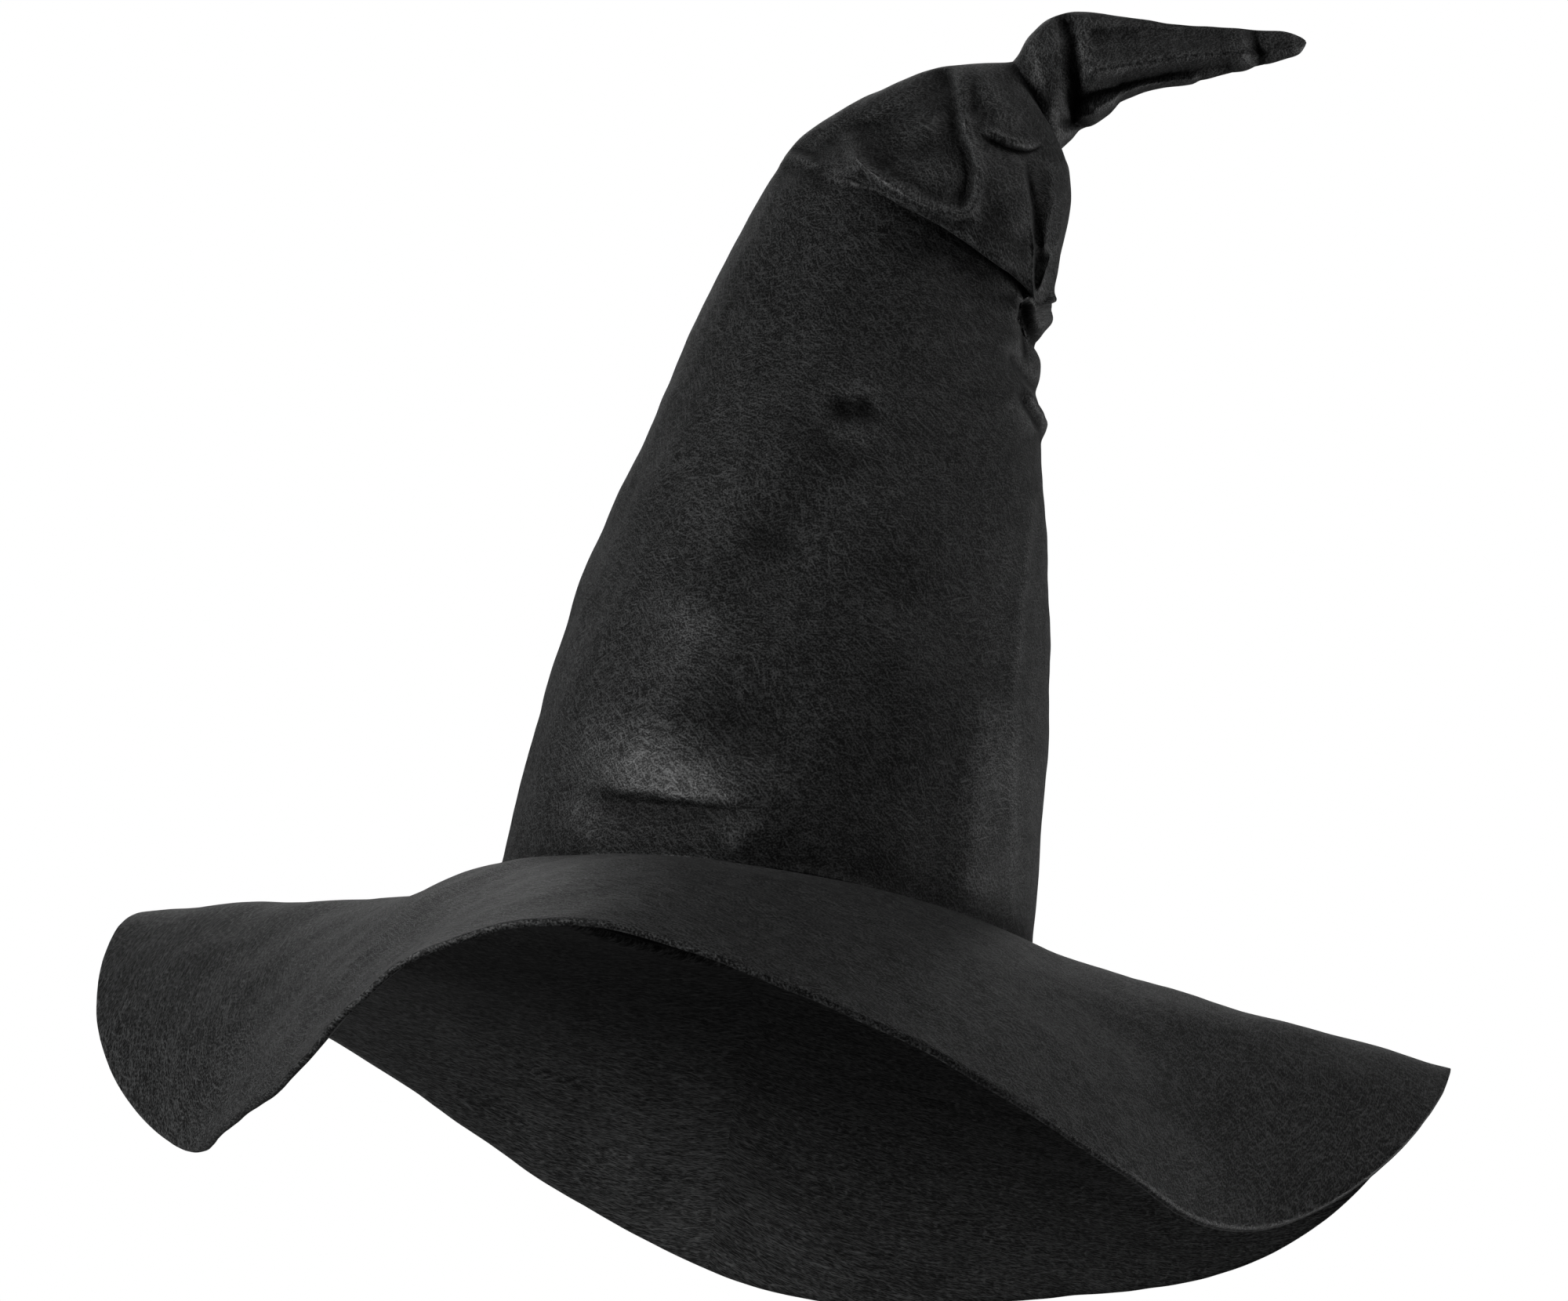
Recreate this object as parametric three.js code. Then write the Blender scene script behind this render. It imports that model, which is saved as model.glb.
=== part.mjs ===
// Witch hat: tall felt cone crown that folds over at two creases, on a wide drooping felt brim.
// Millimetres. Origin at the centre of the head opening in the plane of the brim seam.
// +Z up the crown, -Y the wearer's front, +X the side the tip points to.
import * as THREE from 'three';

// ---- driving dimensions
const FELT = 2.0;                 // thickness of the crown and brim felt
const OPEN_X = 86.5;              // crown outside, half width at the brim seam
const OPEN_Y = 104;               // crown outside, half depth at the brim seam
const BRIM_WIDTH = 138;           // brim from seam to raw edge, measured along the felt
const COLLAR_HEIGHT = 9;          // brim allowance turned up inside the crown
const COLLAR_INSET = 4.3;         // crown outside to collar outside
const BAND_HEIGHT = 28;           // sweatband
const BAND_INSET = 6.6;           // crown outside to sweatband outside
const BAND_THICK = 0.8;
const THREAD_R = 0.25;            // sewing thread radius
const SEAM_GAP = 0.3;             // crown edge down to the top face of the brim

// Zigzag stitches: half height, then inset from the crown outside and height of each line above the seam.
const STITCH = { reach: 1.2, seamInset: 3.55, seamHeight: 4.5, bandHeight: 4, bandClear: 0.6, sideClear: 1 };
// Crown side seam: azimuth and stitch half width in degrees, and where its stitches start and end, in rings.
const SIDE_SEAM = { at: -14, swing: 0.9, lower: [0.8, 3.9], upper: [2.5, 5.5] };
// Elastic tape under the side seam: degrees wide, thickness, gap to the felt, and its ends in rings.
const TAPE = { degrees: 5, thick: 0.8, clear: 2.2, from: 2.7, to: 3.8 };
// Folded label at the back of the sweatband: degrees wide, thickness, gap to the band, ends above the seam.
const LABEL = { degrees: 14, thick: 0.4, clear: 1.5, bottom: 7, top: 38 };

// Hinge point, lean in degrees and the two lap radii of each crease.
const FOLD = { x: 9, z: 220.5, lean: 17, inner: 46.3, outer: 47.3 };
const BEND = { x: 45.5, z: 283.5, lean: 56, inner: 17.5, outer: 18.5 };

const RING_SEGS = 60;             // segments round the opening, shared so the gaps stay even
const UPPER_SEGS = 36;
const TIP_SEGS = 20;

// Brim droop: vertical drop of the raw edge is a base value plus soft waves round the hat.
const DROOP_BASE = 14;
const DROOP_CURVE = 1.35;         // how late across its width the brim starts to fall
const DROOP_WAVES = [             // azimuth in degrees (0 = +X, 90 = back), half width in degrees, drop in mm
  { at: -16, wide: 77, drop: 90 },
  { at: 85, wide: 39, drop: 65 },
  { at: 198, wide: 33, drop: 90 },
  { at: -2, wide: 23, drop: -87 },
  { at: 158, wide: 13, drop: -23 },
  { at: 229, wide: 16, drop: 24 },
];

const rad = (d) => d * Math.PI / 180;

// ---- crown rings: each ring is a flat oval given by its left and right edge points and its half depth
const ring = (ax, az, bx, bz, depth) => ({ ax, az, bx, bz, depth });

// The ring at one latitude of a ball about a hinge point, tilted by the crown's lean there.
function ballRing(hinge, radius, latitude) {
  const w = radius * Math.cos(rad(latitude)), h = radius * Math.sin(rad(latitude));
  const c = Math.cos(rad(hinge.lean)), s = Math.sin(rad(hinge.lean));
  const x = hinge.x + h * s, z = hinge.z + h * c;
  return ring(x - w * c, z + w * s, x + w * c, z - w * s, w);
}

const LOWER = [
  ring(-OPEN_X, 0, OPEN_X, 0, OPEN_Y),
  ring(-83, 61, 82.5, 59, 98),
  ring(-73, 108, 76, 110, 86),
  ring(-58, 167, 65.5, 170, 69),
  ring(-46, 205, 56.5, 188, 55),
  ballRing(FOLD, FOLD.inner, -14),
  ballRing(FOLD, FOLD.inner, 2),
  ballRing(FOLD, FOLD.inner, 18),
  ballRing(FOLD, FOLD.inner, 32),
];
const UPPER = [
  ballRing(FOLD, FOLD.outer, 8),
  ballRing(FOLD, FOLD.outer, 20),
  ring(-29, 255, 59, 230, 46),
  ring(-23, 264.5, 59.5, 239, 43),
  ring(-7, 277.5, 59, 246, 38),
  ring(11, 288, 57, 252, 31),
  ring(26, 293.5, 53, 259, 23),
  ballRing(BEND, BEND.inner - FELT, -18),
  ballRing(BEND, BEND.inner - FELT, 0),
  ballRing(BEND, BEND.inner - FELT, 15),
  ballRing(BEND, BEND.inner - FELT, 30),
];
const TIP = [
  ballRing(BEND, BEND.outer, 5),
  ring(41, 309, 61.5, 273, 21),
  ring(53, 315, 65.5, 279.5, 19),
  ring(65, 316.5, 72.5, 288, 15.5),
  ring(78, 315.5, 84, 294, 12),
  ring(97, 316.5, 100, 301, 8.5),
  ring(113, 317.7, 115, 308, 5.5),
  ring(125, 319.5, 127, 313.5, 3.5),
  ring(131, 319.3, 131.5, 315.5, 2),
  ring(132.5, 318, 132.5, 318, 0),
];

const smooth = (points) => new THREE.CatmullRomCurve3(points, false, 'centripetal');
function edges(rings) {
  return {
    left: smooth(rings.map((r) => new THREE.Vector3(r.ax, r.depth, r.az))),
    right: smooth(rings.map((r) => new THREE.Vector3(r.bx, 0, r.bz))),
    last: rings.length - 1,
  };
}

// Point on a crown surface: u counts rings, theta goes round from +X, offset is outward from the rings.
function onCrown(crown, u, theta, offset) {
  const t = Math.min(Math.max(u / crown.last, 0), 1);
  const a = crown.left.getPoint(t), b = crown.right.getPoint(t);
  const depth = Math.max(a.y, 0);
  const half = Math.hypot(b.x - a.x, b.z - a.z) / 2;
  const nx = half > 0 ? (b.x - a.x) / (2 * half) : 0, nz = half > 0 ? (b.z - a.z) / (2 * half) : 0;
  const w = Math.cos(theta) * (half + offset);
  const y = Math.sin(theta) * (depth + offset);
  return new THREE.Vector3((a.x + b.x) / 2 + w * nx, y, (a.z + b.z) / 2 + w * nz);
}

function moveVertices(geometry, place) {
  const p = geometry.attributes.position;
  const v = new THREE.Vector3();
  for (let i = 0; i < p.count; i += 1) {
    const q = place(v.fromBufferAttribute(p, i));
    p.setXYZ(i, q.x, q.y, q.z);
  }
  geometry.computeVertexNormals();
  return geometry;
}

// A lathed tube whose radius minus NOMINAL is the offset from the surface and whose height counts rings.
const NOMINAL = 100;
const lathe = (profile, segs) => new THREE.LatheGeometry(profile, segs).rotateX(Math.PI / 2);
const range = (from, to, n) => Array.from({ length: n + 1 }, (_, i) => from + (to - from) * i / n);

function crownShell(crown, outer, inner, steps, segs) {
  const up = range(0, crown.last, steps);
  const profile = [
    ...up.map((u) => new THREE.Vector2(NOMINAL + outer, u)),
    ...up.reverse().map((u) => new THREE.Vector2(NOMINAL + inner, u)),
    new THREE.Vector2(NOMINAL + outer, 0),
  ];
  return moveVertices(lathe(profile, segs), (v) =>
    onCrown(crown, v.z, Math.atan2(v.y, v.x), Math.hypot(v.x, v.y) - NOMINAL));
}

// The tip closes on its own axis, so its profile starts and ends there.
function tipShell(crown, outer, inner, hollowTo, segs) {
  const wall = range(0, hollowTo, 2 * hollowTo);
  const skin = [...range(0, crown.last - 1, 2 * (crown.last - 1)), crown.last];
  const profile = [
    ...skin.map((u) => new THREE.Vector2(u === crown.last ? 0 : NOMINAL + outer, u)).reverse(),
    ...wall.map((u) => new THREE.Vector2(NOMINAL + inner, u)),
    new THREE.Vector2(0, hollowTo),
  ].reverse();
  return moveVertices(lathe(profile, segs), (v) => {
    const r = Math.hypot(v.x, v.y);
    if (r < 1) return onCrown(crown, v.z, 0, 0).lerp(onCrown(crown, v.z, Math.PI, 0), 0.5);
    return onCrown(crown, v.z, Math.atan2(v.y, v.x), r - NOMINAL);
  });
}

// ---- brim
function rimDrop(theta) {
  const wrap = (d) => ((d % 360) + 540) % 360 - 180;
  return DROOP_WAVES.reduce((sum, w) =>
    sum + w.drop * Math.exp(-((wrap(theta * 180 / Math.PI - w.at) / w.wide) ** 2)), DROOP_BASE);
}

// offset is measured from the crown's outside; outside it the felt droops with a soft curve.
function onBrim(theta, offset, z) {
  let out = offset, down = 0;
  if (offset > 0) {
    down = rimDrop(theta) * (offset / BRIM_WIDTH) ** DROOP_CURVE;
    out = Math.sqrt(Math.max(offset * offset - down * down, 0));
  }
  return new THREE.Vector3((OPEN_X + out) * Math.cos(theta), (OPEN_Y + out) * Math.sin(theta), z - down);
}

function brimShape() {
  const top = -SEAM_GAP, under = top - FELT, inside = -COLLAR_INSET - FELT;
  const across = range(0, BRIM_WIDTH, 7);
  const at = (offset, z) => new THREE.Vector2(NOMINAL + offset, z);
  const profile = [
    at(inside, COLLAR_HEIGHT), at(inside, under),
    ...across.map((d) => at(d, under)),
    ...across.reverse().map((d) => at(d, top)),
    at(-COLLAR_INSET, top), at(-COLLAR_INSET, COLLAR_HEIGHT), at(inside, COLLAR_HEIGHT),
  ];
  return moveVertices(lathe(profile, RING_SEGS), (v) =>
    onBrim(Math.atan2(v.y, v.x), Math.hypot(v.x, v.y) - NOMINAL, v.z));
}

// ---- parts that follow the opening
function openingRing(profile, lift) {
  return moveVertices(lathe(profile, RING_SEGS), (v) => {
    const theta = Math.atan2(v.y, v.x), offset = Math.hypot(v.x, v.y) - NOMINAL;
    return new THREE.Vector3((OPEN_X + offset) * Math.cos(theta), (OPEN_Y + offset) * Math.sin(theta),
      v.z + lift(theta));
  });
}

function sweatbandShape() {
  const o = NOMINAL - BAND_INSET, i = o - BAND_THICK;
  return openingRing([[o, 0.5], [o, BAND_HEIGHT], [i, BAND_HEIGHT], [i, 0.5], [o, 0.5]]
    .map(([r, z]) => new THREE.Vector2(r, z)), () => 0);
}

// A closed line of zigzag stitches round the opening.
function stitchRing(offset, height, reach) {
  const r = THREAD_R, c = NOMINAL + offset;
  const profile = [[c + r, height], [c, height + r], [c - r, height], [c, height - r], [c + r, height]]
    .map(([x, z]) => new THREE.Vector2(x, z));
  return openingRing(profile, (theta) => reach * Math.cos(theta * RING_SEGS / 2));
}

// ---- parts that follow the side seam, inside the crown
function seamStitches(crown, offset, [from, to], count) {
  const points = range(from, to, count).map((u, i) =>
    onCrown(crown, u, rad(SIDE_SEAM.at + (i % 2 ? SIDE_SEAM.swing : -SIDE_SEAM.swing)), offset));
  const r = THREAD_R;
  const dot = new THREE.Shape([[r, 0], [0, r], [-r, 0], [0, -r]].map(([x, y]) => new THREE.Vector2(x, y)));
  return new THREE.ExtrudeGeometry(dot, {
    steps: count, bevelEnabled: false, extrudePath: new THREE.CatmullRomCurve3(points),
  });
}

// A strip laid on a surface: box x is degrees round, box y is outward offset, box z runs along.
function strip(degrees, thick, from, to, steps, place) {
  return moveVertices(new THREE.BoxGeometry(degrees, thick, to - from, 3, 1, steps), (v) =>
    place(rad(-v.x), v.y, v.z + (from + to) / 2));
}

// ---- assembly
const lower = edges(LOWER), upper = edges(UPPER), tip = edges(TIP);
const group = new THREE.Group();
group.name = 'witch_hat';
function add(name, geometry, colour, roughness = 0.95) {
  const mesh = new THREE.Mesh(geometry, new THREE.MeshStandardMaterial({ color: colour, roughness }));
  mesh.name = name;
  group.add(mesh);
}

add('brim', brimShape(), 0x222124);
add('crown_lower', crownShell(lower, 0, -FELT, 16, RING_SEGS), 0x232225);
add('crown_upper', crownShell(upper, FELT, 0, 15, UPPER_SEGS), 0x242326);
add('crown_tip', tipShell(tip, FELT, 0, 6, TIP_SEGS), 0x252427);
add('sweatband', sweatbandShape(), 0x161618, 0.7);
add('brim_seam_thread', stitchRing(-STITCH.seamInset, STITCH.seamHeight, STITCH.reach), 0x101012, 0.6);
add('sweatband_thread',
  stitchRing(-BAND_INSET - BAND_THICK - STITCH.bandClear, STITCH.bandHeight, STITCH.reach), 0x111113, 0.6);
add('side_seam_thread_lower',
  seamStitches(lower, -FELT - STITCH.sideClear, SIDE_SEAM.lower, 36), 0x101012, 0.6);
add('side_seam_thread_upper', seamStitches(upper, -STITCH.sideClear, SIDE_SEAM.upper, 16), 0x101012, 0.6);
add('gather_tape', strip(TAPE.degrees, TAPE.thick, TAPE.from, TAPE.to, 6, (angle, offset, u) =>
  onCrown(lower, u, rad(SIDE_SEAM.at) + angle, offset - FELT - TAPE.clear)), 0x19191b, 0.8);
add('care_label', strip(LABEL.degrees, LABEL.thick, LABEL.bottom, LABEL.top, 2, (angle, offset, z) => {
  const theta = Math.PI / 2 + angle, inset = BAND_INSET + BAND_THICK + LABEL.clear - offset;
  return new THREE.Vector3((OPEN_X - inset) * Math.cos(theta), (OPEN_Y - inset) * Math.sin(theta), z);
}), 0xd8d5cc, 0.8);

export default group;
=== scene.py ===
"""Witch hat: the looks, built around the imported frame.

The crown and brim are sheets of needle-punched felt. Each is worked out in millimetres as a smooth surface
through a few rings, then creased by strokes drawn on the front or the back, and given its thickness.
"""
import math

import bpy
import numpy as np
from mathutils import Matrix, Vector


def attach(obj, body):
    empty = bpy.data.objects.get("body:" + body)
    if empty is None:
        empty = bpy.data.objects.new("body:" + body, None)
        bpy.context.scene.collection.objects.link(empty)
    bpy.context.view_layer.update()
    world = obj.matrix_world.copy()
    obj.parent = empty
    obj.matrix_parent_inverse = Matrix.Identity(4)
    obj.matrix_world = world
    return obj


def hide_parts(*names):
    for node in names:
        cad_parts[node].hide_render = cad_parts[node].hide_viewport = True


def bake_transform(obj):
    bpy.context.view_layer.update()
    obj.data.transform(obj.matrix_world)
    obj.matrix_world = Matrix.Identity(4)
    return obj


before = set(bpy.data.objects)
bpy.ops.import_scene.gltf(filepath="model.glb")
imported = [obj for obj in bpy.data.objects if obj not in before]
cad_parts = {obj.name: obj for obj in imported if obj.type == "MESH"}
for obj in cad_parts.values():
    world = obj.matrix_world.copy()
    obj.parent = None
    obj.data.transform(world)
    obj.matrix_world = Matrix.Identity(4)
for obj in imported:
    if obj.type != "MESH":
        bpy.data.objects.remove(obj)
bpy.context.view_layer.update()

MM = 0.001
FELT = 2.0                        # felt thickness, mm
TIP_FELT = 1.2                    # the tip's, thinner for it is stretched over the pinch, mm
OPEN_X, OPEN_Y = 86.3, 104.0      # crown outside at the brim seam: half width and half depth, mm
BRIM_WIDTH = 138.0                # seam to raw edge along the felt, mm
SEAM_GAP = 0.3                    # crown edge down to the top of the brim, mm
COLLAR_HEIGHT = 9.0               # brim allowance turned up inside the crown, mm
COLLAR_INSET = 4.3                # crown outside to collar, mm
COLLAR_BEND = 1.5                 # radius of the turn, mm
BAND_INSET = 6.6                  # crown outside to sweatband, mm
BAND_THICK = 0.7                  # mm
TAPE_THICK = 0.7                  # mm
LABEL_THICK = 0.3                 # mm
THREAD_R = 0.3                    # mm
THREAD_SIDES = 6
STITCH = 3.2                      # length of one stitch, mm
STITCH_STEP = 0.4                 # between points along a thread, mm
ROUND_MM = 1.0                    # mm round the crown for each degree, near enough
WAVES = 12                        # random waves to each length of swell
PAINTED_LIGHT_RISE = 0.42                  # mm a fold has to stand proud for its colour to be painted twice as bright, as painted light
PAINTED_LIGHT_RANGE = (0.38, 1.7)          # darkest and brightest that painted shade and painted highlight may make the felt
SEAM_AT = math.radians(-14)       # azimuth of the crown's side seam
FRONT_AT = -math.pi / 2           # azimuth of the wearer's front
BACK_AT = math.pi / 2
CLOTH_UV = "felt"                 # the uv layer of every piece
rng = np.random.default_rng(7)


# ---------------------------------------------------------------- camera, light and floor
CAMERA_DISTANCE = 2.0             # m, from the middle of the hat
CAMERA_ELEVATION = math.radians(-11.56)
CAMERA_ROLL = math.radians(8.77)  # the wearer's head leans this far
CAMERA_LENS = 141.5               # mm, on a sensor 36 mm wide
CAMERA_TARGET = Vector((-0.0073, 0.0, 0.089))
FLOOR_Z = -0.62                   # m
WORLD_FILL = 0.09                 # how bright the world is to all but the camera


def make_camera():
    """A long lens below the brim, looking up at the hat, turned as the head leans. Gives its place in mm."""
    back = Vector((0, -math.cos(CAMERA_ELEVATION), math.sin(CAMERA_ELEVATION)))
    data = bpy.data.cameras.new("camera")
    data.sensor_width = 36
    data.lens = CAMERA_LENS
    cam = bpy.data.objects.new("camera", data)
    bpy.context.scene.collection.objects.link(cam)
    turn = (-back).to_track_quat("-Z", "Y").to_matrix()
    cam.matrix_world = (Matrix.Translation(CAMERA_TARGET + back * CAMERA_DISTANCE)
                        @ (turn @ Matrix.Rotation(CAMERA_ROLL, 3, "Z")).to_4x4())
    bpy.context.scene.camera = cam
    return np.array(cam.location) / MM


def area_light(name, place, aim, size, watts):
    """A rectangle of light at a place, facing the aim. Metres and watts."""
    data = bpy.data.lights.new(name, "AREA")
    data.shape = "RECTANGLE"
    data.size, data.size_y = size
    data.energy = watts
    light = bpy.data.objects.new(name, data)
    bpy.context.scene.collection.objects.link(light)
    light.location = place
    light.rotation_euler = (Vector(aim) - Vector(place)).to_track_quat("-Z", "Y").to_euler()


def make_world():
    """White to the camera, as a studio sweep is, and a softer fill to everything else."""
    world = bpy.data.worlds.new("studio")
    bpy.context.scene.world = world
    world.use_nodes = True
    nodes, links = world.node_tree.nodes, world.node_tree.links
    nodes.clear()
    out = nodes.new("ShaderNodeOutputWorld")
    mix = nodes.new("ShaderNodeMixShader")
    path = nodes.new("ShaderNodeLightPath")
    fill = nodes.new("ShaderNodeBackground")
    seen = nodes.new("ShaderNodeBackground")
    fill.inputs["Color"].default_value = (1, 1, 1, 1)
    fill.inputs["Strength"].default_value = WORLD_FILL
    seen.inputs["Color"].default_value = (1, 1, 1, 1)
    seen.inputs["Strength"].default_value = 1.0
    links.new(path.outputs["Is Camera Ray"], mix.inputs[0])
    links.new(fill.outputs[0], mix.inputs[1])
    links.new(seen.outputs[0], mix.inputs[2])
    links.new(mix.outputs[0], out.inputs["Surface"])


def make_floor():
    """A pale floor that glows a little and throws no light back on the hat."""
    bpy.ops.mesh.primitive_plane_add(size=30, location=(0, 0, FLOOR_Z))
    floor = bpy.context.object
    floor.name = "floor"
    mat = bpy.data.materials.new("pale_floor")
    mat.use_nodes = True
    bsdf = mat.node_tree.nodes["Principled BSDF"]
    bsdf.inputs["Base Color"].default_value = (0.86, 0.86, 0.86, 1)
    bsdf.inputs["Roughness"].default_value = 0.9
    bsdf.inputs["Emission Color"].default_value = (1, 1, 1, 1)
    bsdf.inputs["Emission Strength"].default_value = 0.6
    floor.data.materials.append(mat)
    floor.visible_diffuse = floor.visible_glossy = False


def make_studio():
    """A key from the wearer's right, a strip from the left, and two weak lights above and behind."""
    make_world()
    make_floor()
    area_light("key_left", (-1.9, -1.1, -0.15), (0, 0, 0.06), (0.6, 0.8), 33)
    area_light("strip_right", (1.8, 0.55, -0.3), (0.06, 0, 0.03), (0.5, 0.7), 12)
    area_light("top", (0.9, -0.3, 1.7), (0.2, 0, -0.05), (0.8, 0.8), 5.5)
    area_light("back_top", (-0.2, 1.8, 1.2), (0, 0, 0.05), (1.6, 0.9), 5)


bpy.context.scene.view_settings.view_transform = "Standard"
FRONT_EYE = make_camera()         # mm; front creases are drawn as seen from here
BACK_EYE = FRONT_EYE * (1, -1, 0)
make_studio()


# ---------------------------------------------------------------- curves and strokes
def smooth_step(low, high, x):
    """Rises smoothly from 0 at low to 1 at high."""
    t = np.clip((x - low) / (high - low), 0, 1)
    return t * t * (3 - 2 * t)


def through(points, steps):
    """A smooth curve through the points: steps samples for each stretch between two of them."""
    p = np.asarray(points, float)
    p = np.vstack([2 * p[0] - p[1], p, 2 * p[-1] - p[-2]])
    t = np.linspace(0, 1, steps, endpoint=False)[:, None]
    out = []
    for a, b, c, d in zip(p, p[1:], p[2:], p[3:]):
        square, cube = 2 * a - 5 * b + 4 * c - d, 3 * b - a - 3 * c + d
        out.append(0.5 * (2 * b + (c - a) * t + square * t ** 2 + cube * t ** 3))
    return np.vstack(out + [p[-2:-1]])


def near_stroke(seen, path):
    """Each seen point's distance from the stroke, plus on its left, and how far along it lies, 0 to 1."""
    line = through(path, 6)
    a, b = line[:-1], line[1:]
    ab = b - a
    length = np.linalg.norm(ab, axis=1)
    done = np.concatenate([[0], np.cumsum(length)])
    best = np.full(len(seen), 1e9)
    signed = np.zeros(len(seen))
    along = np.zeros(len(seen))
    for i in range(len(a)):
        ap = seen - a[i]
        t = np.clip(ap @ ab[i] / length[i] ** 2, 0, 1)
        off = ap - t[:, None] * ab[i]
        dist = np.hypot(off[:, 0], off[:, 1])
        closer = dist < best
        side = np.sign(ab[i, 0] * ap[:, 1] - ab[i, 1] * ap[:, 0])
        best = np.where(closer, dist, best)
        signed = np.where(closer, dist * side, signed)
        along = np.where(closer, (done[i] + t * length[i]) / done[-1], along)
    return signed, along


def seen_from(eye, points):
    """Where each point falls on the plane y = 0, seen from the eye."""
    t = eye[1] / (eye[1] - points[:, 1])
    hit = eye + (points - eye) * t[:, None]
    return hit[:, [0, 2]]


def wrap_degrees(turn):
    """Degrees counted from the back, so that strokes may run round the front and both sides."""
    return (turn + 270) % 360 - 270


def ends(along, start, stop):
    """Fades a stroke in over its first share, start, and out over its last, stop."""
    fade = np.ones_like(along)
    if start > 0:
        fade = fade * smooth_step(0, start, along)
    if stop > 0:
        fade = fade * smooth_step(0, stop, 1 - along)
    return fade


class Sculpt:
    """Moves the points of one surface by strokes. Heights and widths are in mm.

    Most strokes are a path of (x, z) as the eye sees it on the plane y = 0, and move points towards the eye.
    A stroke round the hat is a path of (azimuth in degrees, z), and moves points outwards.
    """

    def __init__(self, grid, azimuths, eye):
        self.shape = grid.shape
        self.points = grid.reshape(-1, 3)
        self.normals = surface_normals(grid).reshape(-1, 3)
        self.seen = seen_from(eye, self.points)
        turn = np.degrees(np.broadcast_to(azimuths, grid.shape[:2])).ravel()
        self.round = np.stack([wrap_degrees(turn) * ROUND_MM, self.points[:, 2]], 1)
        self.to_eye = eye - self.points
        self.to_eye /= np.linalg.norm(self.to_eye, axis=1)[:, None]
        toward = np.einsum("ij,ij->i", self.normals, self.to_eye)
        self.facing = smooth_step(-0.05, 0.3, toward) / np.maximum(toward, 0.6)
        self.share = np.ones(len(self.points))
        self.move = np.zeros_like(self.points)

    def only(self, share):
        """Later strokes move each row of points by this share."""
        self.share = np.repeat(share, self.shape[1])

    def swell(self, path, height, width):
        """A soft ridge along the path, or a valley if height is negative."""
        signed, _ = near_stroke(self.seen, path)
        self.push(height * np.exp(-(signed / width) ** 2))

    def edge(self, path, height, width):
        """A ridge with a sharp top, or a sharp valley."""
        signed, _ = near_stroke(self.seen, path)
        self.push(height * np.exp(-(np.hypot(signed, 0.6) - 0.6) / width))

    def lap(self, path, lip, sink, lip_width, sink_width, start=0.3, stop=0.3, soft=1):
        """The felt on the path's left stands proud, and the felt on its right sinks. Fades at both ends."""
        signed, along = near_stroke(self.seen, path)
        over = np.exp(-np.maximum(signed, 0) / lip_width) * smooth_step(-0.9 * soft, 0.5 * soft, signed)
        under = np.exp(-np.maximum(-signed, 0) / sink_width) * smooth_step(0.5 * soft, -0.9 * soft, signed)
        self.push((lip * over - sink * under) * ends(along, start, stop))

    def push(self, height):
        """Moves points towards the eye, less where the surface turns away from it."""
        self.move += self.to_eye * (height * self.facing * self.share)[:, None]

    def bulge(self, path, height, width):
        """A soft ridge or valley along a path round the hat."""
        path = [(degrees * ROUND_MM, z) for degrees, z in path]
        signed, _ = near_stroke(self.round, path)
        self.move += self.normals * (height * np.exp(-(signed / width) ** 2))[:, None]

    def result(self):
        return (self.points + self.move).reshape(self.shape)


# ---------------------------------------------------------------- surfaces as grids of points
def surface_normals(grid, closed=True):
    """Outward unit normals of a (rows, columns, 3) grid whose columns go round anticlockwise from above."""
    if closed:
        across = np.roll(grid, -1, 1) - np.roll(grid, 1, 1)
    else:
        across = np.gradient(grid, axis=1)
    up = np.gradient(grid, axis=0)
    n = np.cross(across, up)
    length = np.linalg.norm(n, axis=2, keepdims=True)
    return n / np.maximum(length, 1e-9)


def round_columns(count, crowd, middle):
    """Azimuths round the hat, closer together about the middle one."""
    k = np.arange(count) / count
    return middle + 2 * math.pi * (k - 0.5) - crowd * np.sin(2 * math.pi * (k - 0.5))


def ring_rows(rings, spacing, centre=0):
    """Rings through the given ones, with how far each lies above ring number centre, mm.

    spacing is a function of that distance, and gives how far apart the rings are there.
    """
    fine = through(rings, 60)
    step = np.linalg.norm(np.diff((fine[:, :2] + fine[:, 2:4]) / 2, axis=0), axis=1)
    done = np.concatenate([[0], np.cumsum(step)])
    done -= done[60 * centre]
    places = [done[0]]
    while places[-1] < done[-1]:
        places.append(places[-1] + spacing(places[-1]))
    places[-1] = done[-1]
    return np.stack([np.interp(places, done, fine[:, i]) for i in range(fine.shape[1])], 1), np.array(places)


def tube(rows, azimuths):
    """Points of a tube: each row is left x, z, right x, z and half depth."""
    left, right, depth = rows[:, None, :2], rows[:, None, 2:4], rows[:, None, 4]
    c, s = np.cos(azimuths)[None, :], np.sin(azimuths)[None, :]
    mid, half = (left + right) / 2, (right - left) / 2
    xz = mid + half * c[..., None]
    return np.stack([xz[..., 0], depth * s, xz[..., 1]], 2)


def round_table(table, azimuths):
    """A smooth periodic function of azimuth through (degrees, value) pairs in rising order."""
    degrees, values = zip(*table)
    turns = np.concatenate([np.array(degrees) + k for k in (-720, -360, 0, 360, 720)])
    curve = through(np.stack([turns, np.tile(values, 5)], 1), 12)
    return np.interp(np.degrees(azimuths), curve[:, 0], curve[:, 1])


def uneven(points, waves):
    """Slight random swells; waves lists (how high, how long) in mm."""
    total = np.zeros(points.shape[:-1])
    for high, long in waves:
        for _ in range(WAVES):
            way = rng.normal(size=3)
            way *= 2 * math.pi / long / np.linalg.norm(way)
            total += high / math.sqrt(WAVES) * np.sin(points @ way + rng.uniform(0, 2 * math.pi))
    return total


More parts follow.
